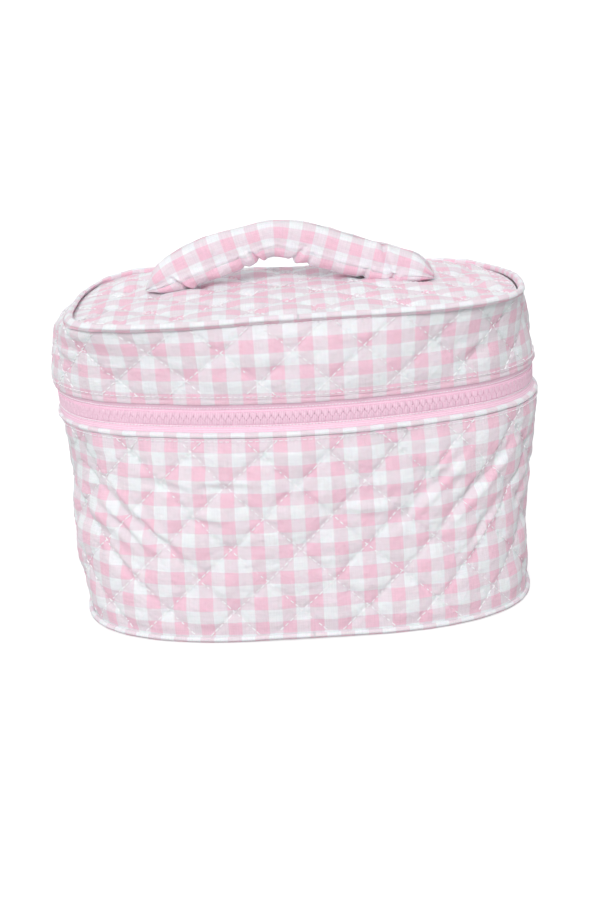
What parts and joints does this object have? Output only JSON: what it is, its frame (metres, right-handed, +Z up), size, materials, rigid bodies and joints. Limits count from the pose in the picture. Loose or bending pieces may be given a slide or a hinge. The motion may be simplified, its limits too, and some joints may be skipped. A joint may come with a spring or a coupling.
{
  "type": "makeup bag",
  "caption": "Quilted gingham train case: oval soft body, hinged lid with a zip round the front and ends, piped seams and a padded top handle.",
  "frame": {"origin": "middle of the base, on the surface the bag stands on", "axes": "+Z up through the lid, -Y towards the front with the zip, +X towards the right end as seen from the front"},
  "size_m": [0.23, 0.14, 0.1855],
  "materials": {
    "gingham_quilt": "quilted cotton, matt",
    "gingham_handle": "plain woven cotton, matt",
    "gingham_piping": "bias-cut woven cotton, matt",
    "hem_cloth": "folded woven cotton, matt",
    "zip_tape": "woven polyester tape, slight sheen",
    "zip_teeth": "moulded, satin",
    "lining": "smooth woven lining, slight sheen",
    "filling": "bonded polyester wadding",
    "stiffener": "plain sheet",
    "slider_enamel": "satin enamel on die-cast zinc"
  },
  "bodies": {
    "case": {"body_wall": "gingham_quilt", "back_panel_lower": "gingham_quilt", "body_wadding": "filling", "body_lining": "lining", "body_hem": "hem_cloth", "base_piping": "gingham_piping", "base_panel": "gingham_quilt", "base_board": "stiffener", "base_lining": "lining", "zip_tape_lower": "zip_tape", "zip_teeth_lower": "zip_teeth", "hinge_strip": "hem_cloth"},
    "lid": {"lid_band": "gingham_quilt", "back_panel_upper": "gingham_quilt", "lid_band_wadding": "filling", "lid_band_lining": "lining", "lid_hem": "hem_cloth", "top_piping": "gingham_piping", "lid_top_panel": "gingham_quilt", "lid_top_wadding": "filling", "lid_top_lining": "lining", "zip_tape_upper": "zip_tape", "zip_teeth_upper": "zip_teeth", "handle_tab_right": "gingham_handle", "handle_tab_left": "gingham_handle"},
    "handle": {"handle_cover": "gingham_handle", "handle_core": "filling"},
    "slider": {"slider_body": "slider_enamel", "slider_bail": "slider_enamel"},
    "pull": {"pull_tab": "slider_enamel"}
  },
  "joints": [
    {"name": "lid_hinge", "type": "hinge", "parent": "case", "child": "lid", "pos_m": [0, 0.0665, 0.1074], "axis": [-1, 0, 0], "range_deg": [0, 110], "deforming": ["hinge_strip"]},
    {"name": "handle_lean", "type": "hinge", "parent": "lid", "child": "handle", "pos_m": [0, 0, 0.15797], "axis": [1, 0, 0], "range_deg": [-40, 40], "stiffness_Nm_per_rad": 0.04},
    {"name": "slider_travel", "type": "hinge", "parent": "case", "child": "slider", "pos_m": [0.057, 0, 0.1074], "axis": [0, 0, -1], "range_deg": [0, 120]},
    {"name": "pull_swing", "type": "hinge", "parent": "slider", "child": "pull", "pos_m": [0.08625, 0.05066, 0.1074], "axis": [0, 0, -1], "range_deg": [0, 170]}
  ]
}
